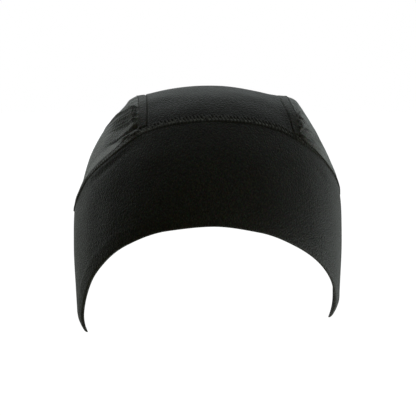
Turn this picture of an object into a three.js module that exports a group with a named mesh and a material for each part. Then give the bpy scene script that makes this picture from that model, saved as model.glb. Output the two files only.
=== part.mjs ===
// Softshell beanie: a close black cap of thin stretch softshell, shown as it sits on a head.
// A deep band runs round the head over the forehead and the ears. Above it the crown is made of three
// panels: a centre panel from front to back, and a left and a right side panel that are gathered
// into their seams. Each panel is one cloth wall, and the sewn seams are the narrow gaps between them.
//
// Millimetres, +Z up. The front faces -Y, and +X is on the right of someone who looks at the front.
// The origin is on the inner face of the crown's highest point, where the top of the head bears.
import * as THREE from "three";

// Cloth and seams.
const BAND_THICKNESS = 1.5;
const CROWN_THICKNESS = 1.4;
const SEAM_GAP = 0.4;

// The form under the cloth's outer face, cut level at each depth below the crown's top. Each section is a
// squared ellipse whose widest line lies at centre, with its foremost point at -front and its rearmost at back.
const SECTION_POWER = 2.15;
const SECTIONS = [
  { depth: 0, halfWidth: 0, front: 0, back: 0, centre: 0 },
  { depth: 4, halfWidth: 31.5, front: 32, back: 33, centre: 0 },
  { depth: 8, halfWidth: 44.5, front: 44.5, back: 46, centre: 1 },
  { depth: 15, halfWidth: 57, front: 57, back: 60, centre: 3 },
  { depth: 22, halfWidth: 64.5, front: 65.5, back: 69.5, centre: 5 },
  { depth: 30, halfWidth: 70, front: 73, back: 78, centre: 7 },
  { depth: 44, halfWidth: 76, front: 83, back: 89, centre: 10 },
  { depth: 60, halfWidth: 79.6, front: 90, back: 96.5, centre: 12 },
  { depth: 76, halfWidth: 81, front: 94, back: 100, centre: 12 },
  { depth: 92, halfWidth: 81.5, front: 95.5, back: 100.5, centre: 12 },
  { depth: 110, halfWidth: 81, front: 95, back: 98, centre: 12 },
  { depth: 130, halfWidth: 79.8, front: 92, back: 94, centre: 12 },
  { depth: 152, halfWidth: 78.4, front: 88, back: 90, centre: 12 },
];

// Depth of the band's lower hem, by the angle round the head from the front. It arches over the forehead,
// dips to the ear tips and rises again to the back.
const HEM = [
  { angle: 0, left: 79.5, right: 79.5 },
  { angle: 15, left: 82.3, right: 83.3 },
  { angle: 30, left: 91.3, right: 92.9 },
  { angle: 45, left: 105.5, right: 105 },
  { angle: 60, left: 122.5, right: 118 },
  { angle: 70, left: 134.5, right: 127.5 },
  { angle: 79, left: 146, right: 137.5 },
  { angle: 85, left: 150, right: 141.5 },
  { angle: 91, left: 143, right: 130 },
  { angle: 99, left: 129, right: 114.5 },
  { angle: 108, left: 118, right: 106.5 },
  { angle: 120, left: 109, right: 101 },
  { angle: 140, left: 99, right: 95.5 },
  { angle: 160, left: 92.5, right: 91.5 },
  { angle: 180, left: 90, right: 90 },
];

// Depth of the arched seam between the band and the crown panels, by the same angle.
const ARCH_SEAM = [
  { angle: 0, left: 21.3, right: 21.3 },
  { angle: 15, left: 22.7, right: 22.2 },
  { angle: 30, left: 28, right: 26.4 },
  { angle: 45, left: 43.5, right: 37.3 },
  { angle: 60, left: 57.5, right: 51.3 },
  { angle: 75, left: 71, right: 61.5 },
  { angle: 90, left: 77, right: 68 },
  { angle: 105, left: 75, right: 69.5 },
  { angle: 120, left: 67, right: 65 },
  { angle: 135, left: 57, right: 57 },
  { angle: 150, left: 48, right: 48 },
  { angle: 165, left: 42, right: 42 },
  { angle: 180, left: 40, right: 40 },
];

// Distance from the middle of the hat to each seam between the centre panel and a side panel, by the
// place along the hat from front to back.
const SIDE_SEAM = [
  { along: -62, left: 37.5, right: 51.5 },
  { along: -45, left: 37, right: 46 },
  { along: -30, left: 37, right: 43 },
  { along: -10, left: 37.5, right: 41.5 },
  { along: 30, left: 38, right: 40 },
  { along: 90, left: 36, right: 37 },
];

// How far the cloth stands off the form, by the distance outboard of a side seam: it swells over the bulky
// seam, more on the right, and is drawn straight below it, where the side panel doesn't touch the form.
const STAND_OFF = [
  { outboard: -14, left: 0, right: 0 },
  { outboard: -6, left: 0, right: -0.3 },
  { outboard: 0, left: 0.2, right: 0.4 },
  { outboard: 5, left: 0.9, right: 2.2 },
  { outboard: 9, left: 0.6, right: 2.8 },
  { outboard: 14, left: -1.5, right: 1.2 },
  { outboard: 20, left: -3, right: -0.6 },
  { outboard: 30, left: -4.7, right: -2.4 },
  { outboard: 40, left: -4.8, right: -3 },
  { outboard: 55, left: -4.2, right: -2 },
  { outboard: 70, left: -3.6, right: -0.6 },
  { outboard: 85, left: -1.5, right: 0 },
  { outboard: 95, left: 0, right: 0 },
];
const STAND_OFF_FADE = 22; // the stand-off dies away over this depth above the arched seam

// The distance outboard of a seam is a share of the sideways distance and of most of the drop. These two
// shares turn their sum into the length of the curved path along the cloth.
const PATH_SHARE = 0.77;
const DROP_SHARE = 0.9;

// How far the hem draws the band inwards: a little all round, and more at the free ear tips.
const HEM_CURL = 0.7;
const HEM_CURL_REACH = 9;
const TIP_CURL = 3.2;
const TIP_CURL_REACH = 14;

// Gathers of the side panels, which run outboard from the front of each side seam.
const GATHERS = {
  left: { first: -58, last: -16, pitch: 5.3, height: 0.9, start: 3, reach: 24 },
  right: { first: -54, last: -14, pitch: 6.6, height: 0.8, start: 7, reach: 22 },
};

// Mesh steps.
const BAND_COLUMNS = 96;
const BAND_ROWS = 9;
const CENTRE_COLUMNS = 26;
const CENTRE_ROWS = 8;
const SIDE_GATHER_COLUMNS = 32;
const SIDE_PLAIN_COLUMNS = 16;
const SIDE_ROWS = 10;
const HEM_ROW_EASING = 1.3; // over one, the band's rows are closer at its hem
const END_EASING = 0.5; // the share of the centre panel's points that crowd towards its steep ends
const CORNER_TRIM = 0.3; // a side panel starts this far behind its sharp corner
const NORMAL_STEP = 0.05; // how far off a point its normal is measured
const BISECTIONS = 40;
const RAY_DEPTH = 80; // rays that find the form start at this depth below the crown
const RAY_LENGTH = 150;
const PANEL_REACH = 90; // no crown panel reaches further to the front or the back than this

const degrees = THREE.MathUtils.degToRad;
const smoothstep = THREE.MathUtils.smoothstep;

// A smooth curve through one column of a table that never overshoots its rows. With flat ends it meets
// its own mirror image smoothly.
function curveThrough(rows, key, column, { shape = (value) => value, flatEnds = false } = {}) {
  const xs = rows.map((row) => row[key]);
  const ys = rows.map((row) => shape(row[column]));
  const spans = xs.slice(1).map((x, i) => x - xs[i]);
  const slopes = spans.map((span, i) => (ys[i + 1] - ys[i]) / span);
  const tangents = xs.map((_, i) => {
    if (i === 0) return flatEnds ? 0 : slopes[0];
    if (i === xs.length - 1) return flatEnds ? 0 : slopes[i - 1];
    if (slopes[i - 1] * slopes[i] <= 0) return 0;
    const before = 2 * spans[i] + spans[i - 1];
    const after = spans[i] + 2 * spans[i - 1];
    return (before + after) / (before / slopes[i - 1] + after / slopes[i]);
  });
  return (x) => {
    const clamped = Math.min(Math.max(x, xs[0]), xs[xs.length - 1]);
    let i = 0;
    while (i < spans.length - 1 && clamped > xs[i + 1]) i += 1;
    const t = (clamped - xs[i]) / spans[i];
    return (
      (2 * t ** 3 - 3 * t ** 2 + 1) * ys[i] +
      (t ** 3 - 2 * t ** 2 + t) * spans[i] * tangents[i] +
      (3 * t ** 2 - 2 * t ** 3) * ys[i + 1] +
      (t ** 3 - t ** 2) * spans[i] * tangents[i + 1]
    );
  };
}

// The same for a table with a left and a right column.
function sidedCurve(rows, key) {
  const flatEnds = key === "angle";
  const curves = {
    left: curveThrough(rows, key, "left", { flatEnds }),
    right: curveThrough(rows, key, "right", { flatEnds }),
  };
  return (side, x) => curves[side](x);
}

// Sizes are squared between the rows, so that the crown is round at its top and not pointed.
const squared = { shape: (value) => value * value };
const halfWidthSquared = curveThrough(SECTIONS, "depth", "halfWidth", squared);
const frontSquared = curveThrough(SECTIONS, "depth", "front", squared);
const backSquared = curveThrough(SECTIONS, "depth", "back", squared);
const centreAt = curveThrough(SECTIONS, "depth", "centre");

const hemDepth = sidedCurve(HEM, "angle");
const archDepth = sidedCurve(ARCH_SEAM, "angle");
const seamOffset = sidedCurve(SIDE_SEAM, "along");
const standOff = sidedCurve(STAND_OFF, "outboard");

const sideOf = (x) => (x < 0 ? "left" : "right");

function sectionAt(depth) {
  const centre = centreAt(depth);
  return {
    centre,
    halfWidth: Math.sqrt(halfWidthSquared(depth)),
    front: Math.sqrt(frontSquared(depth)) + centre,
    back: Math.sqrt(backSquared(depth)) - centre,
  };
}

// Over zero outside the form and under zero inside it. Here z is minus the depth.
function formLevel(x, y, z) {
  if (z >= 0) return 1 + z;
  const section = sectionAt(-z);
  const behind = y - section.centre;
  const length = behind < 0 ? section.front : section.back;
  return (
    Math.abs(x / section.halfWidth) ** SECTION_POWER +
    Math.abs(behind / length) ** SECTION_POWER -
    1
  );
}

// The angle round the head of a point on the form, in degrees from the front.
function angleOf(x, y, z) {
  return THREE.MathUtils.radToDeg(Math.abs(Math.atan2(x, centreAt(-z) - y)));
}

// The point of the form at a signed angle round the head and a depth.
function pointRound(angle, depth) {
  const section = sectionAt(depth);
  const across = Math.sin(degrees(angle));
  const ahead = Math.cos(degrees(angle));
  const length = ahead > 0 ? section.front : section.back;
  const reach =
    (Math.abs(across / section.halfWidth) ** SECTION_POWER +
      Math.abs(ahead / length) ** SECTION_POWER) **
    (-1 / SECTION_POWER);
  return new THREE.Vector3(
    reach * across,
    section.centre - reach * ahead,
    -depth,
  );
}

// Where a rising test turns from false to true between two values.
function turningPoint(low, high, test) {
  let [below, above] = [low, high];
  for (let i = 0; i < BISECTIONS; i += 1) {
    const middle = (below + above) / 2;
    if (test(middle)) above = middle;
    else below = middle;
  }
  return (below + above) / 2;
}

// The point of the form in the cross-section at y, at a signed angle from straight up.
function pointAcross(y, tilt) {
  const [across, up] = [Math.sin(tilt), Math.cos(tilt)];
  const reach = turningPoint(
    0,
    RAY_LENGTH,
    (r) => formLevel(r * across, y, r * up - RAY_DEPTH) > 0,
  );
  return new THREE.Vector3(reach * across, y, reach * up - RAY_DEPTH);
}

function depthAt(x, y) {
  return turningPoint(0, RAY_DEPTH, (depth) => formLevel(x, y, -depth) <= 0);
}

function outwardNormal(point) {
  const { x, y, z } = point;
  const rise = (dx, dy, dz) =>
    formLevel(x + dx, y + dy, z + dz) - formLevel(x - dx, y - dy, z - dz);
  if (z > -NORMAL_STEP) return new THREE.Vector3(0, 0, 1);
  return new THREE.Vector3(
    rise(NORMAL_STEP, 0, 0),
    rise(0, NORMAL_STEP, 0),
    rise(0, 0, NORMAL_STEP / 2) * 2,
  ).normalize();
}

// Distance along the cloth, roughly, outboard of the side seam.
function outboardOf(point, side) {
  const seam = seamOffset(side, point.y);
  const sideways = Math.abs(point.x) - seam;
  const drop = -point.z - depthAt(seam, point.y);
  return PATH_SHARE * (sideways + DROP_SHARE * drop);
}

function crownStandOff(point) {
  const side = sideOf(point.x);
  const aboveSeam = archDepth(side, angleOf(point.x, point.y, point.z)) + point.z;
  const fade = smoothstep(aboveSeam, 0, STAND_OFF_FADE);
  return fade * standOff(side, outboardOf(point, side));
}

// Height of the gathers over the side panel's plain face.
function gatherHeight(point) {
  const side = sideOf(point.x);
  const folds = GATHERS[side];
  const outboard = outboardOf(point, side);
  const phase = (2 * Math.PI * (point.y - folds.first)) / folds.pitch;
  const near = smoothstep(outboard, 0, folds.start);
  const far = 1 - smoothstep(outboard, folds.start, folds.reach);
  const ends =
    smoothstep(point.y, folds.first - folds.pitch, folds.first) *
    (1 - smoothstep(point.y, folds.last - folds.pitch, folds.last));
  const aboveSeam = archDepth(side, angleOf(point.x, point.y, point.z)) + point.z;
  const clear = smoothstep(aboveSeam, 0, folds.pitch);
  const fold = (1 - Math.cos(phase)) / 2;
  return folds.height * fold * near * far * ends * clear;
}

// The two faces of the cloth at a point of the form, in the part's frame.
function clothAt(point, raised, thickness, gathered = 0) {
  const normal = outwardNormal(point);
  const lift = new THREE.Vector3(0, 0, CROWN_THICKNESS);
  const face = (distance) =>
    point.clone().addScaledVector(normal, distance).add(lift);
  return { outer: face(raised + gathered), inner: face(raised - thickness) };
}

// A closed wall from a grid of cloth points, one list for each column. A ring's last column meets its first.
function wall(columns, isRing = false) {
  const rows = columns[0].length;
  const positions = columns.flatMap((column) => [
    ...column.flatMap((cloth) => cloth.outer.toArray()),
    ...column.flatMap((cloth) => cloth.inner.toArray()),
  ]);
  const outer = (i, j) => (i % columns.length) * 2 * rows + j;
  const inner = (i, j) => outer(i, j) + rows;
  const faces = [];
  const quad = (a, b, c, d) => faces.push(a, b, c, a, c, d);
  const spans = isRing ? columns.length : columns.length - 1;
  for (let i = 0; i < spans; i += 1) {
    for (let j = 0; j < rows - 1; j += 1) {
      quad(outer(i, j), outer(i, j + 1), outer(i + 1, j + 1), outer(i + 1, j));
      quad(inner(i, j), inner(i + 1, j), inner(i + 1, j + 1), inner(i, j + 1));
    }
    const last = rows - 1;
    quad(outer(i, 0), outer(i + 1, 0), inner(i + 1, 0), inner(i, 0));
    quad(outer(i, last), inner(i, last), inner(i + 1, last), outer(i + 1, last));
  }
  if (!isRing) {
    for (let j = 0; j < rows - 1; j += 1) {
      const end = columns.length - 1;
      quad(outer(0, j), inner(0, j), inner(0, j + 1), outer(0, j + 1));
      quad(outer(end, j), outer(end, j + 1), inner(end, j + 1), inner(end, j));
    }
  }
  const geometry = new THREE.BufferGeometry();
  geometry.setAttribute("position", new THREE.Float32BufferAttribute(positions, 3));
  geometry.setIndex(faces);
  geometry.computeVertexNormals();
  return geometry;
}

const steps = (count) => Array.from({ length: count + 1 }, (_, i) => i / count);

// The band: one ring of cloth between the arched seam and the hem, with closer rows where the hem curls in.
function bandGeometry() {
  const rowSpacing = (t) => 1 - (1 - t) ** HEM_ROW_EASING;
  const columns = steps(BAND_COLUMNS)
    .slice(0, -1)
    .map((turn) => {
      const angle = 360 * turn - 180;
      const side = sideOf(angle);
      const top = archDepth(side, Math.abs(angle)) + SEAM_GAP / 2;
      const bottom = hemDepth(side, Math.abs(angle));
      const tip = Math.max(...HEM.map((row) => row[side]));
      return steps(BAND_ROWS).map((t) => {
        const depth = THREE.MathUtils.lerp(top, bottom, rowSpacing(t));
        const nearHem = Math.max(0, 1 - (bottom - depth) / HEM_CURL_REACH);
        const nearTip = Math.max(0, 1 - (tip - depth) / TIP_CURL_REACH);
        const curl = HEM_CURL * nearHem ** 2 + TIP_CURL * nearTip ** 2;
        return clothAt(pointRound(angle, depth), -curl, BAND_THICKNESS);
      });
    });
  return wall(columns, true);
}

const isPastArch = ({ x, y, z }) =>
  -z > archDepth(sideOf(x), angleOf(x, y, z)) - SEAM_GAP / 2;

// Where a line of the crown that keeps its share of the way from the middle to the seams meets the band,
// at the front or at the back.
function endOfLine(share, towards) {
  const side = sideOf(share);
  const sign = Math.sign(towards);
  return (
    sign *
    turningPoint(0, PANEL_REACH, (distance) => {
      const y = sign * distance;
      const x = share * (seamOffset(side, y) - SEAM_GAP / 2);
      return isPastArch({ x, y, z: -depthAt(x, y) });
    })
  );
}

// The centre panel: lines from front to back, spread evenly between the two side seams.
function centreGeometry() {
  const columns = steps(CENTRE_ROWS).map((t) => {
    const share = 2 * t - 1;
    const front = endOfLine(share, -1);
    const back = endOfLine(share, 1);
    return steps(CENTRE_COLUMNS).map((u) => {
      const crowded = (1 - Math.cos(Math.PI * u)) / 2;
      const eased = THREE.MathUtils.lerp(u, crowded, END_EASING);
      const y = THREE.MathUtils.lerp(front, back, eased);
      const x = share * (seamOffset(sideOf(share), y) - SEAM_GAP / 2);
      const point = new THREE.Vector3(x, y, -depthAt(x, y));
      return clothAt(point, crownStandOff(point), CROWN_THICKNESS);
    });
  });
  return wall(columns.reverse());
}

// Where a side panel's seam edge meets the band, at the front or at the back.
function cornerOf(side, towards) {
  const sign = Math.sign(towards);
  const distance = turningPoint(0, PANEL_REACH, (reach) => {
    const y = sign * reach;
    const x = (side === "left" ? -1 : 1) * (seamOffset(side, y) + SEAM_GAP / 2);
    return isPastArch({ x, y, z: -depthAt(x, y) });
  });
  return sign * (distance - CORNER_TRIM);
}

// A side panel: lines across the hat from the side seam down to the band, closest where it is gathered.
function sideGeometry(side) {
  const sign = side === "left" ? -1 : 1;
  const front = cornerOf(side, -1);
  const back = cornerOf(side, 1);
  const gathersEnd = GATHERS[side].last;
  const places = [
    ...steps(SIDE_GATHER_COLUMNS).map((t) => THREE.MathUtils.lerp(front, gathersEnd, t)),
    ...steps(SIDE_PLAIN_COLUMNS)
      .slice(1)
      .map((t) => THREE.MathUtils.lerp(gathersEnd, back, t)),
  ];
  const columns = places.map((y) => {
    const x = seamOffset(side, y) + SEAM_GAP / 2;
    const top = Math.atan2(x, RAY_DEPTH - depthAt(x, y));
    const bottom = turningPoint(top, Math.PI / 2, (tilt) =>
      isPastArch(pointAcross(y, sign * tilt)),
    );
    return steps(SIDE_ROWS).map((t) => {
      const point = pointAcross(y, sign * THREE.MathUtils.lerp(top, bottom, t));
      return clothAt(point, crownStandOff(point), CROWN_THICKNESS, gatherHeight(point));
    });
  });
  return wall(side === "left" ? columns.reverse() : columns);
}

function cloth(name, geometry, color) {
  const material = new THREE.MeshStandardMaterial({ color, roughness: 0.95, metalness: 0 });
  const mesh = new THREE.Mesh(geometry, material);
  mesh.name = name;
  return mesh;
}

const group = new THREE.Group();
group.add(cloth("softshell_band", bandGeometry(), 0x1b1b1a));
group.add(cloth("crown_centre", centreGeometry(), 0x2a2b2a));
group.add(cloth("crown_side_left", sideGeometry("left"), 0x343635));
group.add(cloth("crown_side_right", sideGeometry("right"), 0x343635));

export default group;
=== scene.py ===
# The looks of a softshell beanie as it sits on a head: detailed cloth panels with their sewing, their
# procedural materials, and a plain pale studio.
#
# Tables and shapes are in millimetres in the form's frame, which is the part's frame lowered by the crown's
# thickness: the front faces -y, and depths are measured down from the crown's outer face. Only finished
# meshes, lights and the camera are in metres in the part's own frame.
import math

import bpy
import numpy as np
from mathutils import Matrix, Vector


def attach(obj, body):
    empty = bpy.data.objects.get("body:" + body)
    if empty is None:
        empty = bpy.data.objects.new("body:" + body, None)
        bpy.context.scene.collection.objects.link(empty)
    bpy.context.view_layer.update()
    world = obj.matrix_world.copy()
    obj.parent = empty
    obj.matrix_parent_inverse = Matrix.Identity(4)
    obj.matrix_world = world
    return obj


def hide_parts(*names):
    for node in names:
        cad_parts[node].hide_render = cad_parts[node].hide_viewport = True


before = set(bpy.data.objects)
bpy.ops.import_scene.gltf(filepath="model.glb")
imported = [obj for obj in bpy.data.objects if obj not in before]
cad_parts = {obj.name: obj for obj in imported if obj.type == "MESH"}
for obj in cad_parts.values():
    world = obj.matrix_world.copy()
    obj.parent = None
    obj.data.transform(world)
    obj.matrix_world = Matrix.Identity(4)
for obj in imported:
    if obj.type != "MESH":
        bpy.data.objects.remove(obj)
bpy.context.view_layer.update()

MM = 0.001
CROWN_THICKNESS = 1.4
BAND_THICKNESS = 1.5

# The form under the cloth, cut level at each depth. Each section is a squared ellipse whose widest line lies
# at centre, with its foremost point at -front and its rearmost at back.
SECTION_POWER = 2.15
SECTIONS = [
    dict(depth=0, half_width=0, front=0, back=0, centre=0),
    dict(depth=4, half_width=31.5, front=32, back=33, centre=0),
    dict(depth=8, half_width=44.5, front=44.5, back=46, centre=1),
    dict(depth=15, half_width=57, front=57, back=60, centre=3),
    dict(depth=22, half_width=64.5, front=65.5, back=69.5, centre=5),
    dict(depth=30, half_width=70, front=73, back=78, centre=7),
    dict(depth=44, half_width=76, front=83, back=89, centre=10),
    dict(depth=60, half_width=79.6, front=90, back=96.5, centre=12),
    dict(depth=76, half_width=81, front=94, back=100, centre=12),
    dict(depth=92, half_width=81.5, front=95.5, back=100.5, centre=12),
    dict(depth=110, half_width=81, front=95, back=98, centre=12),
    dict(depth=130, half_width=79.8, front=92, back=94, centre=12),
    dict(depth=152, half_width=78.4, front=88, back=90, centre=12),
]

# Depth of the band's lower hem, by the angle round the head from the front.
HEM = [
    dict(angle=0, left=79.5, right=79.5),
    dict(angle=15, left=82.3, right=83.3),
    dict(angle=30, left=91.3, right=92.9),
    dict(angle=45, left=105.5, right=105),
    dict(angle=60, left=122.5, right=118),
    dict(angle=70, left=134.5, right=127.5),
    dict(angle=79, left=146, right=137.5),
    dict(angle=85, left=150, right=141.5),
    dict(angle=91, left=143, right=130),
    dict(angle=99, left=129, right=114.5),
    dict(angle=108, left=118, right=106.5),
    dict(angle=120, left=109, right=101),
    dict(angle=140, left=99, right=95.5),
    dict(angle=160, left=92.5, right=91.5),
    dict(angle=180, left=90, right=90),
]

# Depth of the arched seam between the band and the crown, by the same angle.
ARCH_SEAM = [
    dict(angle=0, left=21.3, right=21.3),
    dict(angle=15, left=22.7, right=22.2),
    dict(angle=30, left=28, right=26.4),
    dict(angle=45, left=43.5, right=37.3),
    dict(angle=60, left=57.5, right=51.3),
    dict(angle=75, left=71, right=61.5),
    dict(angle=90, left=77, right=68),
    dict(angle=105, left=75, right=69.5),
    dict(angle=120, left=67, right=65),
    dict(angle=135, left=57, right=57),
    dict(angle=150, left=48, right=48),
    dict(angle=165, left=42, right=42),
    dict(angle=180, left=40, right=40),
]

# Distance from the middle to each side seam, by the place along the hat.
SIDE_SEAM = [
    dict(along=-62, left=37.5, right=51.5),
    dict(along=-45, left=37, right=46),
    dict(along=-30, left=37, right=43),
    dict(along=-10, left=37.5, right=41.5),
    dict(along=30, left=38, right=40),
    dict(along=90, left=36, right=37),
]

# How far the cloth stands off the form, by the distance outboard of a side seam.
STAND_OFF = [
    dict(outboard=-14, left=0, right=0),
    dict(outboard=-6, left=0, right=0.1),
    dict(outboard=0, left=0.2, right=0.9),
    dict(outboard=5, left=0.9, right=2.3),
    dict(outboard=9, left=0.6, right=2.8),
    dict(outboard=14, left=-1.5, right=1.2),
    dict(outboard=20, left=-3, right=-0.6),
    dict(outboard=30, left=-4.7, right=-2.4),
    dict(outboard=40, left=-4.8, right=-3),
    dict(outboard=55, left=-4.2, right=-2),
    dict(outboard=70, left=-3.6, right=-0.6),
    dict(outboard=85, left=-1.5, right=0),
    dict(outboard=95, left=0, right=0),
]
STAND_OFF_FADE = 22
PATH_SHARE = 0.77
DROP_SHARE = 0.9

# Ridges and hollows of the gathered side panels. Each starts at a distance outboard of the side seam, begin,
# and at a place along the hat, start. It runs outboard to end, and goes back by drift for each millimetre,
# and by bend for its square. A hollow has a height under zero.
FOLDS = [
    dict(side=-1, begin=5, start=-15, drift=0.15, bend=0.01, height=0.3, width=2.2, end=24),
    dict(side=-1, begin=5, start=-23, drift=0.2, bend=0.015, height=0.45, width=2.2, end=30),
    dict(side=-1, begin=6.5, start=-34, drift=1.4, bend=0, height=-0.9, width=1.2, end=26),
    dict(side=-1, begin=5.2, start=-36.9, drift=1.05, bend=0.018, height=1.6, width=1.5, end=42),
    dict(side=-1, begin=5.4, start=-41.5, drift=1.1, bend=0.006, height=-1.9, width=1.25, end=38),
    dict(side=-1, begin=5.2, start=-44.1, drift=0.94, bend=0.004, height=1.4, width=1.15, end=38),
    dict(side=-1, begin=5.8, start=-46.2, drift=0.68, bend=0.012, height=-1.5, width=1.15, end=38),
    dict(side=-1, begin=5.4, start=-47.7, drift=0.4, bend=0.02, height=1.4, width=1.2, end=40),
    dict(side=-1, begin=5.6, start=-52.6, drift=0.22, bend=0.012, height=-2.1, width=1.2, end=42),
    dict(side=-1, begin=5.6, start=-55.9, drift=0.2, bend=0.015, height=1, width=1.2, end=34),
    dict(side=1, begin=5, start=-14, drift=0.2, bend=0.01, height=0.3, width=2.2, end=20),
    dict(side=1, begin=5, start=-22, drift=0.3, bend=0.01, height=0.35, width=2, end=20),
    dict(side=1, begin=6, start=-38.8, drift=1.7, bend=0, height=0.9, width=1.2, end=22),
    dict(side=1, begin=5.5, start=-40.6, drift=0.4, bend=0, height=-1.2, width=1, end=16),
    dict(side=1, begin=5.4, start=-43.4, drift=1.03, bend=0, height=0.8, width=1, end=22),
    dict(side=1, begin=5.8, start=-44.2, drift=0.2, bend=0, height=-1, width=0.9, end=15),
    dict(side=1, begin=6, start=-45.9, drift=0.37, bend=0.018, height=1.8, width=1.2, end=50),
    dict(side=1, begin=7.2, start=-47, drift=0.43, bend=0.006, height=-2.3, width=1.2, end=44),
    dict(side=1, begin=6.6, start=-49.2, drift=0.22, bend=0.014, height=1.7, width=1.1, end=48),
]

# How a fold sets in about its start, the last share of it over which it fades, and how it keeps clear of the
# arched seam.
FOLD_SETS_IN = (-1, 2.5)
FOLD_FADE_SHARE = 0.65
FOLD_CLEARS_ARCH = (1, 4.5)

# Soft dents and puckers of the band below the arched seam, each about a place at an angle and a distance
# below the seam, with its size along and across the seam.
PUCKERS = [
    dict(angle=-46, below=1.9, height=0.22, along=22, across=0.8),
    dict(angle=-46, below=5.2, height=-0.5, along=20, across=1.9),
    dict(angle=52, below=11, height=-0.35, along=5, across=2.2),
    dict(angle=62, below=12, height=-0.3, along=5, across=2.2),
]

# Sewing. A strip of doubled cloth lies on the crown's side of the arched seam and on the side panels' side
# of the side seams. Threads cross it at a slant, and between them the needles leave slots, which are dented
# into the cloth and darkened with painted shade. Round the sides the arched strip is rolled under, and shows
# only a share of its width, by the angle round the head.
STRIP_WIDTH = 5.6
STRIP_SHARE = [
    dict(angle=0, left=1, right=1),
    dict(angle=32, left=1, right=1),
    dict(angle=46, left=0.75, right=0.68),
    dict(angle=70, left=0.7, right=0.5),
    dict(angle=180, left=0.6, right=0.5),
]
STRIP_RISE = 0.22
SIDE_STRIP_SHARE = 0.5
GROOVE_DEPTH = 0.45
GROOVE_WIDTH = 0.65
SIDE_GROOVE_DEPTH = 0.6

# Where a strip's height begins and is full, from its seam and from its far edge, and how far its own cloth
# ends before that edge.
STRIP_SETS_IN = (0.1, 1)
STRIP_FADES = (1, -0.4)
STRIP_CLOTH_MARGIN = 0.2

# The cloth beyond the arched strip: a low ridge on the centre panel, and a pinched line on the side panels.
STRIP_EDGE_RISE = 0.16
STRIP_EDGE_WIDTH = 0.6
PINCH_DEPTH = 0.6
PINCH_WIDTH = 0.9

# The threads. Crossing ones run from the needle line to near the seam, and short ones along the needle line.
# Their ends sink into the cloth.
STITCH_PITCH = 2.1
STITCH_SLANT = 0.35
STITCH_JITTER = 0.06
NEEDLE_LINE = 5.0
CROSSING_END = 0.6
CROSSING_SINK = 0.4
SHORT_STITCH_SHARE = 0.68
SHORT_SINK = 0.35
THREAD_RADIUS = 0.28
FINE_THREAD_RADIUS = 0.17
THREAD_LIFT = 0.4
THREAD_POINTS = 9
THREAD_SIDES = 6

# The hem: a turned-in edge, which draws the band inwards, and more at the free ear tips.
HEM_WIDTH = 8
HEM_CURL = 1.1
HEM_CURL_POWER = 1.5
HEM_RIDGE = 0.12
HEM_RIDGE_PLACE = HEM_WIDTH + 0.6
HEM_RIDGE_WIDTH = 1.3
HEM_RIDGE_ANGLES = (22, 40)
TIP_CURL = 3.0
TIP_CURL_REACH = 14
EDGE_ROUND = 1.1
EDGE_ROUND_SHARE = 0.6

# Edges sharper than this many degrees stay sharp. The inner faces count as this far from any seam.
SHARP_EDGE = 50
FAR_FROM_SEAM = 99

# Grid points of the panels, round the head and down, or across and along the hat. The band's rows lie closer
# at the hem, and a side panel starts just inside its seam's ends.
BAND_GRID = (440, 90)
CENTRE_GRID = (130, 330)
SIDE_GRID = (300, 150)
BAND_ROW_POWER = 1.2
SIDE_END_GAP = 0.02
SIDE_EASE = 0.25
RAY_DEPTH = 80
NORMAL_STEP = 0.05
BISECTIONS = 34

# How uneven the cloth is on top of its form: the height of its waves, their size, and the seed of the draw.
CROWN_WAVES = dict(height=0.12, size=22, seed=3)
BAND_WAVES = dict(height=0.18, size=30, seed=5)

# The cloths. Gloss and sheen are the shader's own levels. Holes says which seams leave needle holes in it,
# dented and darkened with painted shade.
CLOTHS = [
    dict(name="side_softshell", albedo=0.018, sheen=0.64, gloss=0.5, roughness=0.42, holes=()),
    dict(name="strip_softshell", albedo=0.012, sheen=0.36, gloss=0.34, roughness=0.5, holes=("arch", "side")),
    dict(name="band_softshell", albedo=0.008, sheen=0.3, gloss=0.25, roughness=0.5, holes=()),
    dict(name="crown_softshell", albedo=0.005, sheen=0.3, gloss=0.25, roughness=0.5, holes=("arch",)),
]
WARM = (1.05, 1.04, 0.7)
SPECULAR_TINT = (0.98, 1, 0.93)
SHEEN_TINT = (0.92, 1, 1.02)
SHEEN_ROUGHNESS = 0.3

# The thread. Its shades are shares of its albedo.
THREAD_ALBEDO = 0.028
THREAD_SHADES = (0.6, 1.4)
THREAD_SHADE_SIZE = 0.9
TWIST_SIZE = 0.12
TWIST_DEPTH = 0.05

# The cloth's grain. Its shape says how much finer it is along each axis than its own size: it is drawn out
# from front to back. Shades are shares of the albedo, from the dark fibres to the light ones.
GRAIN_SHAPE = (1.4, 0.8, 1.0)
FIBRE_SIZE = 1.05
FIBRE_RANGE = (0.37, 0.63)
FIBRE_SHADES = (0.05, 1.9)
PATCH_SIZE = 30
PATCH_RANGE = (0.35, 0.7)
PATCH_SHADES = (0.9, 1.1)
HUE_SIZE = 1.2
HUE_SPREAD = 4.4
HUE_OFFSET = -1.2
WALES_PER_MM = 0.45
COURSES_PER_MM = 0.55
KNIT_DISTORTION = 1.5
COURSE_SHARE = 0.3
KNIT_HEIGHT = 0.05
GRAIN_DEPTH = 0.75

# What the needles leave: slots between the slanting threads and small round holes, each dented into the cloth
# and darkened with painted shade. Each pair runs from where there is nothing to where the mark is full.
SLOT_HALF_LENGTH = (0.75, 0.5)
SLOT_START = (1.8, 3.2)
SLOT_END = (6.6, 5.8)
HOLE_RADIUS = (0.6, 0.3)
HOLES_START = (20, 30)
HOLE_DEPTH = 2.0
# The painted shade in the slots and holes: how strongly it darkens them, and the near-black it darkens to.
PAINTED_SHADE_STRENGTH = 0.95
PAINTED_HOLE_SHADE = 0.0004

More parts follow.
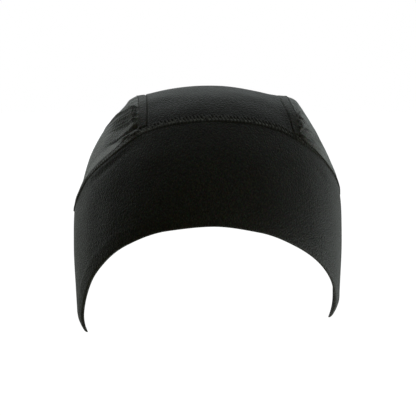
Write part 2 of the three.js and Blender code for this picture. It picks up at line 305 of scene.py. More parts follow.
# The cut of each panel: its flat size, the flat area in square metres, and the sewing on it.
CUTS = [
    dict(
        piece="band", node="softshell_band", slot="band_softshell",
        width=555, length=110, area=0.0322, sewing=[],
    ),
    dict(
        piece="centre_panel", node="crown_centre", slot="crown_softshell",
        width=90, length=190, area=0.0135, sewing=["arch_stitches"],
    ),
    dict(
        piece="left_side_panel", node="crown_side_left", slot="side_softshell",
        width=85, length=170, area=0.0097, sewing=["left_stitches"],
    ),
    dict(
        piece="right_side_panel", node="crown_side_right", slot="side_softshell",
        width=80, length=165, area=0.0084, sewing=["right_stitches"],
    ),
]

# The camera stands a little left of the hat's front and a little above it, at a good distance. These places
# are in metres.
CAMERA_AZIMUTH = -2
CAMERA_ELEVATION = 3
CAMERA_DISTANCE = 1.3
CAMERA_TARGET = (0, 0, -0.0726)
CAMERA_SENSOR = 36
VIEW_WIDTH = 416 * 0.605 * MM
FLOOR_HEIGHT = -0.42
FLOOR_RADIUS = 60
FLOOR_ALBEDO = 0.05
FLOOR_GLOW = 1.0

# Soft glows of the studio round the hat, each the brightest in its own direction. A higher focus is narrower.
GLOWS = [
    dict(tint="cool", azimuth=-135, elevation=10, focus=6, strength=0.4),
    dict(tint="cool", azimuth=-160, elevation=8, focus=14, strength=0.32),
    dict(tint="cool", azimuth=-105, elevation=50, focus=12, strength=0.6),
    dict(tint="cool", azimuth=-150, elevation=30, focus=20, strength=0.65),
    dict(tint="cool", azimuth=60, elevation=5, focus=12, strength=0.88),
    dict(tint="cool", azimuth=160, elevation=8, focus=14, strength=0.48),
    dict(tint="cool", azimuth=180, elevation=30, focus=20, strength=0.5),
    dict(tint="cool", azimuth=180, elevation=60, focus=12, strength=0.08),
    dict(tint="cool", azimuth=130, elevation=45, focus=12, strength=0.78),
    dict(tint="cool", azimuth=120, elevation=-35, focus=8, strength=2.0),
    dict(tint="cool", azimuth=0, elevation=60, focus=8, strength=0.03),
    dict(tint="warm", azimuth=0, elevation=-89, focus=3, strength=0.3),
    dict(tint="warm", azimuth=0, elevation=5, focus=3, strength=0.26),
]
TINTS = {"cool": (0.95, 1.0, 1.015), "warm": (1.05, 1.02, 0.62)}


def smooth(value, start, end):
    """0 up to start and 1 from end on, with a smooth rise between. It falls where end is under start."""
    share = np.clip((value - start) / (end - start), 0, 1)
    return share * share * (3 - 2 * share)


def curve_through(rows, key, column, squared=False, flat_ends=False):
    """A smooth curve through one column of a table that never overshoots its rows."""
    xs = np.array([row[key] for row in rows], float)
    ys = np.array([row[column] for row in rows], float)
    if squared:
        ys = ys * ys
    spans = np.diff(xs)
    slopes = np.diff(ys) / spans
    tangents = np.zeros(len(xs))
    if not flat_ends:
        tangents[0] = slopes[0]
        tangents[-1] = slopes[-1]
    before = 2 * spans[1:] + spans[:-1]
    after = spans[1:] + 2 * spans[:-1]
    rising = slopes[:-1] * slopes[1:] > 0
    safe = np.where(rising, slopes[:-1], 1), np.where(rising, slopes[1:], 1)
    mean = (before + after) / (before / safe[0] + after / safe[1])
    tangents[1:-1] = np.where(rising, mean, 0)

    def value(x):
        x = np.clip(x, xs[0], xs[-1])
        i = np.clip(np.searchsorted(xs, x, side="right") - 1, 0, len(spans) - 1)
        t = (x - xs[i]) / spans[i]
        return (
            (2 * t**3 - 3 * t**2 + 1) * ys[i]
            + (t**3 - 2 * t**2 + t) * spans[i] * tangents[i]
            + (3 * t**2 - 2 * t**3) * ys[i + 1]
            + (t**3 - t**2) * spans[i] * tangents[i + 1]
        )

    return value


def sided_curve(rows, key):
    """The same for a table with a left and a right column. Sides are given by the sign of x."""
    left = curve_through(rows, key, "left", flat_ends=key == "angle")
    right = curve_through(rows, key, "right", flat_ends=key == "angle")
    return lambda side, x: np.where(np.asarray(side) < 0, left(x), right(x))


half_width_squared = curve_through(SECTIONS, "depth", "half_width", squared=True)
front_squared = curve_through(SECTIONS, "depth", "front", squared=True)
back_squared = curve_through(SECTIONS, "depth", "back", squared=True)
centre_at = curve_through(SECTIONS, "depth", "centre")
hem_depth = sided_curve(HEM, "angle")
arch_depth = sided_curve(ARCH_SEAM, "angle")
seam_offset = sided_curve(SIDE_SEAM, "along")
stand_off = sided_curve(STAND_OFF, "outboard")
strip_share = sided_curve(STRIP_SHARE, "angle")


def section_at(depth):
    """Centre, half width, and reach to the front and to the back of the form at a depth."""
    centre = centre_at(depth)
    half_width = np.sqrt(half_width_squared(depth))
    front = np.sqrt(front_squared(depth)) + centre
    back = np.sqrt(back_squared(depth)) - centre
    return centre, half_width, front, back


def form_level(points):
    """Over zero outside the form and under zero inside it."""
    x, y, z = np.moveaxis(points, -1, 0)
    centre, half_width, front, back = section_at(np.maximum(-z, 1e-6))
    behind = y - centre
    length = np.where(behind < 0, front, back)
    level = np.abs(x / half_width) ** SECTION_POWER + np.abs(behind / length) ** SECTION_POWER - 1
    return np.where(z >= 0, 1 + z, level)


def angle_of(points):
    """The angle round the head of points of the form, in degrees from the front."""
    return np.degrees(np.abs(np.arctan2(points[..., 0], centre_at(-points[..., 2]) - points[..., 1])))


def point_round(angle, depth):
    """The point of the form at a signed angle round the head and a depth."""
    centre, half_width, front, back = section_at(depth)
    across = np.sin(np.radians(angle))
    ahead = np.cos(np.radians(angle))
    length = np.where(ahead > 0, front, back)
    level = np.abs(across / half_width) ** SECTION_POWER + np.abs(ahead / length) ** SECTION_POWER
    reach = level ** (-1 / SECTION_POWER)
    return np.stack([reach * across, centre - reach * ahead, -depth + 0 * reach], -1)


def turning_point(low, high, test):
    """Where a rising test turns from false to true between two values, for many cases at once."""
    for _ in range(BISECTIONS):
        middle = (low + high) / 2
        past = test(middle)
        high = np.where(past, middle, high)
        low = np.where(past, low, middle)
    return (low + high) / 2


def depth_at(x, y):
    """Depth of the form under a place on the crown."""
    low = np.zeros(np.broadcast(x, y).shape)

    def inside(depth):
        return form_level(np.stack(np.broadcast_arrays(x, y, -depth), -1)) <= 0

    return turning_point(low, low + RAY_DEPTH, inside)


def point_across(y, tilt):
    """The point of the form in the cross-section at y, at a signed angle from straight up."""

    def at(reach):
        x = reach * np.sin(tilt)
        z = reach * np.cos(tilt) - RAY_DEPTH
        return np.stack(np.broadcast_arrays(x, y, z), -1)

    low = np.zeros(np.broadcast(y, tilt).shape)
    return at(turning_point(low, low + 2 * RAY_DEPTH, lambda reach: form_level(at(reach)) > 0))


def normals_of(points):
    """Outward unit normals of the form."""
    rises = []
    for axis in range(3):
        step = np.zeros(3)
        step[axis] = NORMAL_STEP / 2
        rises.append(form_level(points + step) - form_level(points - step))
    rises = np.stack(rises, -1)
    top = points[..., 2] > -NORMAL_STEP
    rises[top] = (0, 0, 1)
    return rises / np.linalg.norm(rises, axis=-1, keepdims=True)


def onto_form(points):
    """Nearby points moved onto the form."""
    for _ in range(3):
        normals = normals_of(points)
        ahead = form_level(points + normals * NORMAL_STEP)
        behind = form_level(points - normals * NORMAL_STEP)
        slope = (ahead - behind) / (2 * NORMAL_STEP)
        points = points - normals * (form_level(points) / slope)[..., None]
    return points


def is_past_arch(points):
    """Whether points of the form lie below the arched seam."""
    return -points[..., 2] > arch_depth(points[..., 0], angle_of(points))


def outboard_of(points):
    """Distance along the cloth, roughly, outboard of the side seam."""
    seam = seam_offset(points[..., 0], points[..., 1])
    drop = -points[..., 2] - depth_at(seam, points[..., 1])
    return PATH_SHARE * (np.abs(points[..., 0]) - seam + DROP_SHARE * drop)


class Seam:
    """A sewn line on the form, as closely spaced points with their distances along it."""

    def __init__(self, points):
        self.points = points
        steps = np.linalg.norm(np.diff(points, axis=0), axis=1)
        self.along = np.concatenate([[0], np.cumsum(steps)])
        self.length = self.along[-1]
        self.tangents = np.gradient(points, self.along, axis=0)

    def nearest(self, points):
        """How far points are from the line, and how far along it."""
        flat = points.reshape(-1, 3)
        index = np.concatenate(
            [
                np.argmax(part @ self.points.T - (self.points**2).sum(1) / 2, axis=1)
                for part in np.array_split(flat, len(flat) // 4000 + 1)
            ]
        )
        offset = flat - self.points[index]
        ahead = (offset * self.tangents[index]).sum(1)
        ahead = np.where((index == 0) | (index == len(self.points) - 1), 0, ahead)
        across = np.linalg.norm(offset - ahead[:, None] * self.tangents[index], axis=1)
        return across.reshape(points.shape[:-1]), (self.along[index] + ahead).reshape(points.shape[:-1])

    def at(self, along, across, inwards):
        """Points of the form at distances along and across, on the side that the direction inwards shows."""
        place = np.stack([np.interp(along, self.along, self.points[:, k]) for k in range(3)], -1)
        tangent = np.stack([np.interp(along, self.along, self.tangents[:, k]) for k in range(3)], -1)
        sideways = np.cross(normals_of(place), tangent)
        sideways *= np.sign((sideways * inwards(place)).sum(-1, keepdims=True))
        return onto_form(place + sideways * np.asarray(across)[..., None])


def corner_of(side, towards):
    """Where a side seam meets the arched seam, at the front or the back, as a place along the hat."""

    def past(distance):
        y = towards * distance
        x = side * seam_offset(side, y)
        return is_past_arch(np.stack([x, y, -depth_at(x, y)], -1))

    return towards * turning_point(np.array(0.0), np.array(90.0), past)


ARCH_ANGLES = np.linspace(-180, 180, 1441)


def arch_seam():
    """The seam between the band and the crown, all the way round."""
    return Seam(point_round(ARCH_ANGLES, arch_depth(ARCH_ANGLES, np.abs(ARCH_ANGLES))))


def side_seam(side):
    """The seam between the centre panel and a side panel, between its two corners."""
    y = np.linspace(corner_of(side, -1), corner_of(side, 1), 500)
    x = side * seam_offset(side, y)
    return Seam(np.stack([x, y, -depth_at(x, y)], -1))


ARCH = arch_seam()
SIDES = {-1: side_seam(-1), 1: side_seam(1)}


def raised_strip(across):
    """Share of the sewn strip's height at a distance from its seam."""
    rising = smooth(across, *STRIP_SETS_IN)
    return rising * smooth(across, STRIP_WIDTH + STRIP_FADES[0], STRIP_WIDTH + STRIP_FADES[1])


def groove(across):
    """Share of a seam groove's depth at a distance from the seam."""
    return smooth(across, GROOVE_WIDTH, 0)


def waviness(points, height, size, seed):
    """Soft random unevenness of about that height, from a few seeded waves of about that size."""
    random = np.random.default_rng(seed)
    total = np.zeros(points.shape[:-1])
    for _ in range(7):
        direction = random.normal(size=3)
        direction *= 2 * np.pi / (size * random.uniform(0.7, 1.5) * np.linalg.norm(direction))
        total += np.sin(points @ direction + random.uniform(0, 2 * np.pi))
    return height * (total / 3)


def fold_height(points, side, from_arch):
    """Height of the gathers on a side panel."""
    outboard = outboard_of(points)
    total = np.zeros(outboard.shape)
    for fold in FOLDS:
        if fold["side"] != side:
            continue
        out = np.maximum(outboard - fold["begin"], 0)
        line = fold["start"] + fold["drift"] * out + fold["bend"] * out**2
        ridge = np.exp(-(((points[..., 1] - line) / fold["width"]) ** 2))
        near = smooth(outboard - fold["begin"], *FOLD_SETS_IN)
        far = smooth(outboard, fold["end"], fold["end"] - FOLD_FADE_SHARE * (fold["end"] - fold["begin"]))
        total += fold["height"] * ridge * near * far
    return total * smooth(from_arch, *FOLD_CLEARS_ARCH)


def crown_height(points, side):
    """Heights over the form of a crown panel's outer face, with its sewing and without, and the distances
    along and from the arched seam and the nearer side seam. Side is 0 for the centre panel. The distance from
    the arched seam is stretched so that the strip always ends at its full width."""
    from_arch, along_arch = ARCH.nearest(points)
    over_strip = from_arch / strip_share(points[..., 0], angle_of(points))
    near_side = np.where(points[..., 0] < 0, -1, 1)
    left = SIDES[-1].nearest(points)
    right = SIDES[1].nearest(points)
    from_side = np.where(near_side < 0, left[0], right[0])
    along_side = np.where(near_side < 0, left[1], right[1])
    fade = smooth(arch_depth(points[..., 0], angle_of(points)) + points[..., 2], 0, STAND_OFF_FADE)
    plain = fade * stand_off(points[..., 0], outboard_of(points)) + waviness(points, **CROWN_WAVES)
    strip = raised_strip(over_strip)
    if side:
        strip = np.maximum(strip, SIDE_STRIP_SHARE * raised_strip(from_side))
        plain += fold_height(points, side, from_arch)
        plain -= PINCH_DEPTH * np.exp(-(((over_strip - STRIP_WIDTH) / PINCH_WIDTH) ** 2))
    else:
        plain += STRIP_EDGE_RISE * np.exp(-(((over_strip - STRIP_WIDTH) / STRIP_EDGE_WIDTH) ** 2))
    sewn = plain + STRIP_RISE * strip
    sewn -= np.maximum(GROOVE_DEPTH * groove(from_arch), SIDE_GROOVE_DEPTH * groove(from_side))
    return sewn, plain, (along_arch, over_strip), (along_side, from_side)


def band_height(angle, points):
    """Heights over the form of the band's outer face, with the rounding of its hem and without."""
    side = np.where(angle < 0, -1, 1)
    bottom = hem_depth(side, np.abs(angle))
    tip = np.where(side < 0, max(row["left"] for row in HEM), max(row["right"] for row in HEM))
    from_arch, along_arch = ARCH.nearest(points)
    over_hem = bottom + points[..., 2]
    over_tip = tip + points[..., 2]
    plain = waviness(points, **BAND_WAVES)
    plain -= HEM_CURL * np.clip(1 - over_hem / HEM_WIDTH, 0, 1) ** HEM_CURL_POWER
    ridge = HEM_RIDGE * np.exp(-(((over_hem - HEM_RIDGE_PLACE) / HEM_RIDGE_WIDTH) ** 2))
    plain += ridge * smooth(np.abs(angle), *HEM_RIDGE_ANGLES)
    plain -= TIP_CURL * np.clip(1 - over_tip / TIP_CURL_REACH, 0, 1) ** 2
    for pucker in PUCKERS:
        middle = np.interp(pucker["angle"], ARCH_ANGLES, ARCH.along)
        away = ((along_arch - middle) / pucker["along"]) ** 2
        away += ((from_arch - pucker["below"]) / pucker["across"]) ** 2
        plain += pucker["height"] * np.exp(-away)
    rounding = EDGE_ROUND * EDGE_ROUND_SHARE * np.clip(1 - over_hem / EDGE_ROUND, 0, 1) ** 2
    return plain - rounding, plain


def lengths(grid, axis):
    """Distances along one axis of a grid of points, from its first point."""
    steps = np.linalg.norm(np.diff(grid, axis=axis), axis=-1)
    start = np.zeros_like(np.take(steps, [0], axis=axis))
    return np.concatenate([start, np.cumsum(steps, axis=axis)], axis=axis)


def wall_faces(last, rows, ring):
    """The faces of a wall on a grid, its outer faces first, each as four corners. A corner is a column, a row
    and a layer, which is 0 outside and 1 inside."""
    i, j = np.meshgrid(np.arange(last), np.arange(rows - 1), indexing="ij")
    ends_i = np.arange(last)
    ends_j = np.arange(rows - 1)

    def corner(column, row, layer):
        column, row = np.broadcast_arrays(column, row)
        return np.stack([column, row, np.full(column.shape, layer)], -1)

    def quads(*corners):
        return np.stack(corners, -2).reshape(-1, 4, 3)

    def end_of_rows(row):
        return [
            corner(ends_i, row, 0),
            corner(ends_i + 1, row, 0),
            corner(ends_i + 1, row, 1),
            corner(ends_i, row, 1),
        ]

    def end_of_columns(column):
        return [
            corner(column, ends_j, 0),
            corner(column, ends_j, 1),
            corner(column, ends_j + 1, 1),
            corner(column, ends_j + 1, 0),
        ]

    def turned(corners):
        """The same face seen from its other side."""
        return corners[:1] + corners[:0:-1]

    faces = [
        quads(corner(i, j, 0), corner(i, j + 1, 0), corner(i + 1, j + 1, 0), corner(i + 1, j, 0)),
        quads(corner(i, j, 1), corner(i + 1, j, 1), corner(i + 1, j + 1, 1), corner(i, j + 1, 1)),
        quads(*end_of_rows(0)),
        quads(*turned(end_of_rows(rows - 1))),
    ]
    if not ring:
        faces.append(quads(*end_of_columns(0)))
        faces.append(quads(*turned(end_of_columns(last))))
    return np.concatenate(faces)


def closed_wall(name, outer, inner, ring=False, attributes=None, strip=None):
    """A closed cloth wall between two grids of points, as a mesh with UVs in metres along the cloth. Its
    attributes hold distances along and across a seam for each outer point. Outer faces on a sewn strip take
    the second material. A ring joins its last column to its first."""
    columns, rows = outer.shape[:2]
    last = columns if ring else columns - 1
    points = np.concatenate([outer.reshape(-1, 3), inner.reshape(-1, 3)])
    points = (points + (0, 0, CROWN_THICKNESS)) * MM
    corners = wall_faces(last, rows, ring)
    index = (corners[..., 0] % columns) * rows + corners[..., 1] + corners[..., 2] * columns * rows
    mesh = bpy.data.meshes.new(name)
    mesh.from_pydata(points.tolist(), [], index.tolist())
    if strip is not None:
        on_strip = (strip[:-1, :-1] & strip[1:, 1:]).ravel()
        cloth_index = np.zeros(len(index), np.int32)
        cloth_index[: on_strip.size] = on_strip
        mesh.polygons.foreach_set("material_index", cloth_index)
    looped = np.concatenate([outer, outer[:1]]) if ring else outer
    u = lengths(looped, 0)[:, rows // 2][corners[..., 0]]
    v = lengths(looped, 1)[corners[..., 0], corners[..., 1]]
    layer = mesh.uv_layers.new(name="cloth")
    layer.data.foreach_set("uv", (np.stack([u, v], -1) * MM).astype(np.float32).ravel())
    for key, (along, across) in (attributes or {}).items():
        values = np.zeros((len(points), 3), np.float32)
        values[: columns * rows, 0] = along.ravel()
        values[: columns * rows, 1] = across.ravel()
        values[columns * rows :, 1] = FAR_FROM_SEAM
        mesh.attributes.new(key, "FLOAT_VECTOR", "POINT").data.foreach_set("vector", values.ravel())
    mesh.shade_smooth()
    mesh.set_sharp_from_angle(angle=math.radians(SHARP_EDGE))
    mesh.update()
    return bpy.data.objects.new(name, mesh)


def panel(name, points, sewn, plain, thickness, **options):
    """A closed wall over points of the form, with its outer face at the sewn heights."""
    normals = normals_of(points)
    outer = points + normals * sewn[..., None]
    inner = points + normals * (plain - thickness)[..., None]
    return closed_wall(name, outer, inner, **options)


def centre_panel():
    """The panel between the side seams. Its columns go from right to left, and its rows from front to back."""
    share = np.linspace(1, -1, CENTRE_GRID[0])[:, None]
    ends = {}
    for towards in (-1, 1):

        def past(distance, towards=towards):
            y = towards * distance
            x = share * seam_offset(share, y)
            return is_past_arch(np.stack([x, y, -depth_at(x, y)], -1))

        start = np.zeros_like(share)
        ends[towards] = towards * turning_point(start, start + 90, past)
    u = np.linspace(0, 1, CENTRE_GRID[1])[None, :]
    eased = (u + (1 - np.cos(np.pi * u)) / 2) / 2
    y = ends[-1] + (ends[1] - ends[-1]) * eased
    x = share * seam_offset(share, y)
    points = np.stack([x, y, -depth_at(x, y)], -1)
    sewn, plain, arch, side = crown_height(points, 0)
    from_back = np.where(points[..., 1] > 0, (arch[0] + ARCH.length / 2) % ARCH.length, arch[0])
    attributes = {"arch": (from_back, arch[1]), "side": side}
    return panel("centre_panel", points, sewn, plain, CROWN_THICKNESS, attributes=attributes)


def side_panel(side):
    """A panel between its side seam and the arched seam. Its rows run down from the side seam."""
    front = corner_of(side, -1)
    back = corner_of(side, 1)
    u = np.linspace(0, 1, SIDE_GRID[0])[:, None]
    length = back - front - 2 * SIDE_END_GAP
    y = front + SIDE_END_GAP + length * ((1 - SIDE_EASE) * u + SIDE_EASE * u * u)
    x = seam_offset(side, y)
    top = np.arctan2(x, RAY_DEPTH - depth_at(x, y))
    bottom = turning_point(top, top * 0 + np.pi / 2, lambda tilt: is_past_arch(point_across(y, side * tilt)))
    t = np.linspace(0, 1, SIDE_GRID[1])[None, :]
    points = point_across(y + 0 * t, side * (top + (bottom - top) * t))
    if side < 0:
        points = points[::-1]
    sewn, plain, arch, seam = crown_height(points, side)
    name = "left_side_panel" if side < 0 else "right_side_panel"
    strip = np.minimum(arch[1], seam[1]) < STRIP_WIDTH - STRIP_CLOTH_MARGIN
    attributes = {"arch": arch, "side": seam}
    return panel(name, points, sewn, plain, CROWN_THICKNESS, attributes=attributes, strip=strip)


def band():
    """The ring of cloth between the arched seam and the hem, which starts at the back."""
    angle = np.linspace(-180, 180, BAND_GRID[0] + 1)[:-1, None]
    side = np.sign(angle) + (angle == 0)
    top = arch_depth(side, np.abs(angle))
    bottom = hem_depth(side, np.abs(angle))
    t = np.linspace(0, 1, BAND_GRID[1])[None, :]
    depth = top + (bottom - top) * (1 - (1 - t) ** BAND_ROW_POWER)
    points = point_round(angle + 0 * t, depth)
    sewn, plain = band_height(angle + 0 * t, points)
    return panel("band", points, sewn, plain, BAND_THICKNESS, ring=True)


def tubes(name, lines, radius, sides=THREAD_SIDES):
    """One mesh of closed round threads along many lines of points, given as [line, point, axis]."""
    count, steps = lines.shape[:2]
    tangents = np.gradient(lines, axis=1)
    tangents /= np.linalg.norm(tangents, axis=-1, keepdims=True)
    away = lines - (0, 0, -RAY_DEPTH)
    first = np.cross(tangents, away)
    first /= np.linalg.norm(first, axis=-1, keepdims=True)
    second = np.cross(first, tangents)
    turns = np.arange(sides) * 2 * np.pi / sides
    ring = np.cos(turns)[:, None] * first[:, :, None] + np.sin(turns)[:, None] * second[:, :, None]
    points = (lines[:, :, None] + radius * ring).reshape(-1, 3)
    line, step, side = np.meshgrid(np.arange(count), np.arange(steps - 1), np.arange(sides), indexing="ij")

    def corner(j, k):
        return ((line * steps + j) * sides + k % sides).ravel()

    faces = np.stack(
        [corner(step, side), corner(step, side + 1), corner(step + 1, side + 1), corner(step + 1, side)], -1
    ).tolist()
    for i in range(count):
        start = i * steps * sides
        end = start + (steps - 1) * sides
        faces.append(list(range(start + sides - 1, start - 1, -1)))
        faces.append(list(range(end, end + sides)))
    mesh = bpy.data.meshes.new(name)
    mesh.from_pydata(((points + (0, 0, CROWN_THICKNESS)) * MM).tolist(), [], faces)
    mesh.shade_smooth()
    mesh.update()
    return bpy.data.objects.new(name, mesh)


def on_crown(points):
    """The points of the crown's outer face over points of the form, and the normals there."""
    seam = seam_offset(points[..., 0], points[..., 1])
    side = np.where(np.abs(points[..., 0]) > seam, np.sign(points[..., 0]), 0)
    height = np.choose((side + 1).astype(int), [crown_height(points, s)[0] for s in (-1, 0, 1)])
    normals = normals_of(points)
    return points + normals * height[..., None], normals


def stitches(name, seam, inwards, crossing):
    """The threads of a seam: slanting ones that cross its strip, or short ones between the needle holes. The
    length of the name is the seed of their small unevenness."""
    count = int(seam.length / STITCH_PITCH) - 1
    random = np.random.default_rng(len(name))
    place = (np.arange(count)[:, None] + 1) * STITCH_PITCH
    place = place + random.normal(0, STITCH_JITTER, place.shape)
    t = np.linspace(0, 1, THREAD_POINTS)[None, :]
    if crossing:
        across = NEEDLE_LINE + (CROSSING_END - NEEDLE_LINE) * t + 0 * place
        along = place + STITCH_SLANT * (NEEDLE_LINE - across)
        sink = CROSSING_SINK * (smooth(t, 0.14, 0) + smooth(t, 0.9, 1))
        angle = np.interp(along, ARCH.along, ARCH_ANGLES)
        across = across * strip_share(angle, np.abs(angle))
    else:
        across = NEEDLE_LINE + 0 * (place + t)
        along = place + STITCH_PITCH * SHORT_STITCH_SHARE * (t - 0.5)
        sink = SHORT_SINK * (smooth(t, 0.25, 0) + smooth(t, 0.75, 1))
    lines, normals = on_crown(seam.at(along, across, inwards))
    lines += normals * (THREAD_RADIUS * THREAD_LIFT - sink)[..., None]
    return tubes(name, lines, THREAD_RADIUS if crossing else FINE_THREAD_RADIUS)


class Graph:
    """A node tree, built up one node at a time."""

    def __init__(self, tree, owner=None):
        self.tree = tree
        self.owner = owner
        self.tree.nodes.clear()

    @staticmethod
    def material(name):
        owner = bpy.data.materials.new(name)
        owner.use_nodes = True
        return Graph(owner.node_tree, owner)

    def add(self, kind, settings=(), **inputs):
        node = self.tree.nodes.new("ShaderNode" + kind)
        for key, value in dict(settings).items():
            setattr(node, key, value)
        for key, value in inputs.items():
            self.feed(node.inputs[key.replace("_", " ")], value)
        return node

    def feed(self, socket, value):
        if isinstance(value, bpy.types.NodeSocket):
            self.tree.links.new(value, socket)
        else:
            socket.default_value = value

    def math(self, operation, *values):
        node = self.tree.nodes.new("ShaderNodeMath")
        node.operation = operation
        for socket, value in zip(node.inputs, values):
            self.feed(socket, value)
        return node.outputs[0]

    def blend(self, factor, a, b, kind="MIX"):
        node = self.tree.nodes.new("ShaderNodeMix")
        node.data_type = "RGBA"
        node.blend_type = kind
        for index, value in ((0, factor), (6, a), (7, b)):
            self.feed(node.inputs[index], value)
        return node.outputs[2]

    def noise(self, place, size, detail=2.0, roughness=0.5):
        """Noise with features of about that size, in millimetres."""
        node = self.add("TexNoise", Vector=place, Scale=1 / (size * MM), Detail=detail, Roughness=roughness)
        return node.outputs[0]

    def ramp(self, value, low, high):
        """0 up to low and 1 from high on. It falls where high is under low."""
        node = self.add("MapRange", {"clamp": True}, Value=value, From_Min=low, From_Max=high)
        return node.outputs[0]


def grey(value, tint=(1, 1, 1)):
    """A grey of that value with a faint tint, as a colour for a socket."""
    return (value * tint[0], value * tint[1], value * tint[2], 1)


def seam_place(graph, attribute):
    """The distances along and across a seam."""
    place = graph.add("Attribute", {"attribute_name": attribute}).outputs["Vector"]
    parts = graph.add("SeparateXYZ", Vector=place)
    return parts.outputs[0], parts.outputs[1]


def between_threads(graph, along, across):
    """How far, in millimetres, a place is along the seam from the middle between two slanting threads."""
    slanted = graph.math("MULTIPLY", graph.math("SUBTRACT", NEEDLE_LINE, across), STITCH_SLANT)
    turns = graph.math("DIVIDE", graph.math("SUBTRACT", along, slanted), STITCH_PITCH)
    share = graph.math("SUBTRACT", graph.math("FRACT", turns), 0.5)
    return graph.math("MULTIPLY", graph.math("ABSOLUTE", share), STITCH_PITCH)


def slots_and_shade(graph, place):
    """The slots between the slanting threads of the arched seam, deepest at the needle line: a mask that dents
    the cloth and darkens it with painted shade.
    """
    along, across = seam_place(graph, "arch")
    narrow = graph.ramp(between_threads(graph, along, across), *SLOT_HALF_LENGTH)
    reach = graph.math("MULTIPLY", graph.ramp(across, *SLOT_START), graph.ramp(across, *SLOT_END))
    uneven = graph.ramp(graph.noise(place, 4, 1.0), 0.3, 0.6)
    return graph.math("MULTIPLY", graph.math("MULTIPLY", narrow, reach), uneven)


def needle_holes_and_shade(graph, place):
    """A broken row of small needle holes beside the side seams, as a mask that dents the cloth and darkens it
    with painted shade.
    """
    along, across = seam_place(graph, "side")
    lengthwise = between_threads(graph, along, NEEDLE_LINE)
    sideways = graph.math("ABSOLUTE", graph.math("SUBTRACT", across, NEEDLE_LINE))
    distance = graph.math("ADD", lengthwise, sideways)
    uneven = graph.ramp(graph.noise(place, 5, 1.0), 0.4, 0.6)
    uneven = graph.math("MULTIPLY", uneven, graph.ramp(along, *HOLES_START))
    return graph.math("MULTIPLY", graph.ramp(distance, *HOLE_RADIUS), uneven)


def fibre_color(graph, place, fibres, albedo):
    """Near-black fibres in slightly different shades and hues, with larger faint patches."""
    patches = graph.ramp(graph.noise(place, PATCH_SIZE), *PATCH_RANGE)
    dark, light = FIBRE_SHADES
    color = graph.blend(graph.ramp(fibres, *FIBRE_RANGE), grey(dark, WARM), grey(light, WARM))
    dark, light = PATCH_SHADES
    color = graph.blend(1.0, color, graph.blend(patches, grey(dark), grey(light)), "MULTIPLY")
    hues = graph.add("TexNoise", Vector=place, Scale=1 / (HUE_SIZE * MM), Detail=1.0).outputs[1]
    tints = graph.add("VectorMath", {"operation": "MULTIPLY_ADD"})
    for socket, value in zip(tints.inputs, (hues, (HUE_SPREAD,) * 3, (HUE_OFFSET,) * 3)):
        graph.feed(socket, value)
    color = graph.blend(1.0, color, tints.outputs[0], "MULTIPLY")
    return graph.blend(1.0, color, grey(albedo), "MULTIPLY")


def knit_height(graph, fibres):
    """The fine ribs and rows of the knit, under its fibres."""
    cloth = graph.add("UVMap", {"uv_map": "cloth"}).outputs[0]

    def waves(direction, per_mm):
        settings = {"bands_direction": direction}
        node = graph.add("TexWave", settings, Vector=cloth, Scale=per_mm / MM, Distortion=KNIT_DISTORTION)
        return node.outputs[1]

    wales = waves("X", WALES_PER_MM)
    courses = waves("Y", COURSES_PER_MM)
    knit = graph.math("ADD", wales, graph.math("MULTIPLY", courses, COURSE_SHARE))
    return graph.math("ADD", graph.math("MULTIPLY", knit, KNIT_HEIGHT), fibres)


def softshell(name, albedo, sheen, gloss, roughness, holes):
    """Stretch softshell: a fine knit with a short nap, and with needle holes along the named seams, dented and
    darkened with painted shade.
    """
    graph = Graph.material(name)
    scaled = graph.add("VectorMath", {"operation": "MULTIPLY"})
    graph.feed(scaled.inputs[0], graph.add("TexCoord").outputs["Object"])
    graph.feed(scaled.inputs[1], GRAIN_SHAPE)
    place = scaled.outputs[0]
    fibres = graph.noise(place, FIBRE_SIZE, 1.0, 0.6)
    color = fibre_color(graph, place, fibres, albedo)
    height = knit_height(graph, fibres)
    if "arch" in holes:
        marks_and_shade = slots_and_shade(graph, place)
        if "side" in holes:
            marks_and_shade = graph.math("MAXIMUM", marks_and_shade, needle_holes_and_shade(graph, place))
        # Painted shade: the cloth in the slots and holes is darkened nearly to black.
        color = graph.blend(graph.math("MULTIPLY", marks_and_shade, PAINTED_SHADE_STRENGTH), color, grey(PAINTED_HOLE_SHADE))
        height = graph.math("SUBTRACT", height, graph.math("MULTIPLY", marks_and_shade, HOLE_DEPTH))
    bump = graph.add("Bump", Height=height, Strength=1.0, Distance=GRAIN_DEPTH * MM)
    shader = graph.add(
        "BsdfPrincipled",
        Base_Color=color,
        Roughness=roughness,
        Normal=bump.outputs[0],
        Specular_IOR_Level=gloss,
        Specular_Tint=grey(1, SPECULAR_TINT),
        Sheen_Weight=sheen,
        Sheen_Roughness=SHEEN_ROUGHNESS,
        Sheen_Tint=grey(1, SHEEN_TINT),
    )
    graph.feed(graph.add("OutputMaterial").inputs[0], shader.outputs[0])
    return graph.owner


def thread(name, albedo):
    """Spun polyester thread, twisted and a little fluffy."""
    graph = Graph.material(name)
    place = graph.add("TexCoord").outputs["Object"]
    shade = graph.ramp(graph.noise(place, THREAD_SHADE_SIZE), 0.35, 0.65)
    dark, light = THREAD_SHADES
    color = graph.blend(shade, grey(albedo * dark, WARM), grey(albedo * light, WARM))
    twist = graph.noise(place, TWIST_SIZE)
    bump = graph.add("Bump", Height=twist, Strength=0.4, Distance=TWIST_DEPTH * MM)
    shader = graph.add(
        "BsdfPrincipled",
        Base_Color=color,
        Roughness=0.5,
        Normal=bump.outputs[0],
        Specular_IOR_Level=0.35,
        Sheen_Weight=0.4,
        Sheen_Roughness=0.35,
    )
    graph.feed(graph.add("OutputMaterial").inputs[0], shader.outputs[0])
    return graph.owner


def finish_piece(piece, material):
    """A piece put into the scene with its material."""
    bpy.context.scene.collection.objects.link(piece)
    piece.data.materials.append(material)
    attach(piece, "root")
    return piece


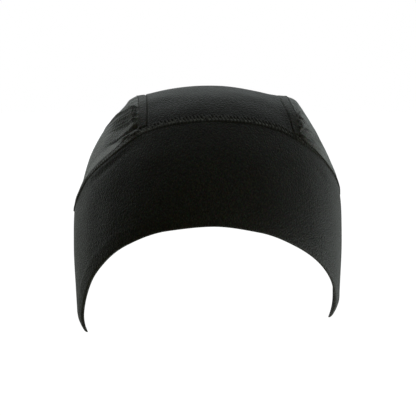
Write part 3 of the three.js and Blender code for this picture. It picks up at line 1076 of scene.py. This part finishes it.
def upwards(points):
    """The direction from the arched seam to its strip. The next two are those from the side seams."""
    return (0, 0, 1) + 0 * points


def leftwards(points):
    return (-1, 0, 0) + 0 * points


def rightwards(points):
    return (1, 0, 0) + 0 * points


def make_panel(name):
    if name == "band":
        return band()
    if name == "centre_panel":
        return centre_panel()
    return side_panel(-1 if name == "left_side_panel" else 1)


def build():
    cloths = {cloth["name"]: softshell(**cloth) for cloth in CLOTHS}
    sewing = thread("sewing_thread", THREAD_ALBEDO)
    rows = [
        (stitches("arch_stitches", ARCH, upwards, True), "crown_softshell"),
        (stitches("left_stitches", SIDES[-1], leftwards, False), "side_softshell"),
        (stitches("right_stitches", SIDES[1], rightwards, False), "side_softshell"),
    ]
    seams = {row.name: finish_piece(row, sewing) for row, slot in rows}
    for cut in CUTS:
        piece = finish_piece(make_panel(cut["piece"]), cloths[cut["slot"]])
        if cut["slot"] == "side_softshell":
            piece.data.materials.append(cloths["strip_softshell"])
        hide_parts(cut["node"])


def direction(azimuth, elevation):
    """The direction to a place round the hat. Azimuth 0 is in front, and over 0 on the right from there."""
    a = math.radians(azimuth)
    e = math.radians(elevation)
    return np.array([math.sin(a) * math.cos(e), -math.cos(a) * math.cos(e), math.sin(e)])


def aimed(obj, place, target):
    """Put an object into the scene at a place, looking at a target."""
    obj.location = place
    towards = Vector(target) - Vector(place)
    obj.rotation_euler = towards.to_track_quat("-Z", "Y").to_euler()
    bpy.context.scene.collection.objects.link(obj)


def camera():
    data = bpy.data.cameras.new("camera")
    data.sensor_width = CAMERA_SENSOR
    data.lens = data.sensor_width * CAMERA_DISTANCE / VIEW_WIDTH
    data.clip_end = 50
    obj = bpy.data.objects.new("camera", data)
    place = np.array(CAMERA_TARGET) + CAMERA_DISTANCE * direction(CAMERA_AZIMUTH, CAMERA_ELEVATION)
    aimed(obj, place, CAMERA_TARGET)
    bpy.context.scene.camera = obj


def glow_light(graph, tint):
    """The glows of one tint, as a light that comes from all round."""
    towards = graph.add("TexCoord").outputs["Generated"]
    total = 0.0
    for glow in GLOWS:
        if glow["tint"] != tint:
            continue
        facing = graph.add("VectorMath", {"operation": "DOT_PRODUCT"})
        graph.feed(facing.inputs[0], towards)
        graph.feed(facing.inputs[1], tuple(direction(glow["azimuth"], glow["elevation"])))
        lobe = graph.math("POWER", graph.math("MAXIMUM", facing.outputs["Value"], 0.0), glow["focus"])
        total = graph.math("ADD", graph.math("MULTIPLY", lobe, glow["strength"]), total)
    return graph.add("Background", Color=grey(1, TINTS[tint]), Strength=total).outputs[0]


def studio_light():
    """A world that is plain white to the camera and lights the hat with the glows."""
    world = bpy.data.worlds.new("studio")
    bpy.context.scene.world = world
    world.use_nodes = True
    graph = Graph(world.node_tree)
    around = graph.add("AddShader")
    for socket, tint in zip(around.inputs, TINTS):
        graph.feed(socket, glow_light(graph, tint))
    seen = graph.add("Background", Color=grey(1), Strength=1.0)
    mix = graph.add("MixShader")
    graph.feed(mix.inputs[0], graph.add("LightPath").outputs["Is Camera Ray"])
    graph.feed(mix.inputs[1], around.outputs[0])
    graph.feed(mix.inputs[2], seen.outputs[0])
    graph.feed(graph.add("OutputWorld").inputs[0], mix.outputs[0])


def studio():
    """A pale floor that the camera sees but that doesn't light the hat, and the light."""
    place = (0, 0, FLOOR_HEIGHT)
    bpy.ops.mesh.primitive_circle_add(vertices=64, radius=FLOOR_RADIUS, fill_type="NGON", location=place)
    floor = bpy.context.object
    floor.name = "floor"
    graph = Graph.material("pale_floor")
    shader = graph.add(
        "BsdfPrincipled",
        Base_Color=grey(FLOOR_ALBEDO),
        Roughness=0.8,
        Emission_Color=grey(1),
        Emission_Strength=FLOOR_GLOW,
    )
    graph.feed(graph.add("OutputMaterial").inputs[0], shader.outputs[0])
    floor.data.materials.append(graph.owner)
    floor.visible_diffuse = False
    floor.visible_glossy = False
    floor.visible_shadow = False
    studio_light()
    bpy.context.scene.view_settings.view_transform = "Standard"


camera()
studio()
build()
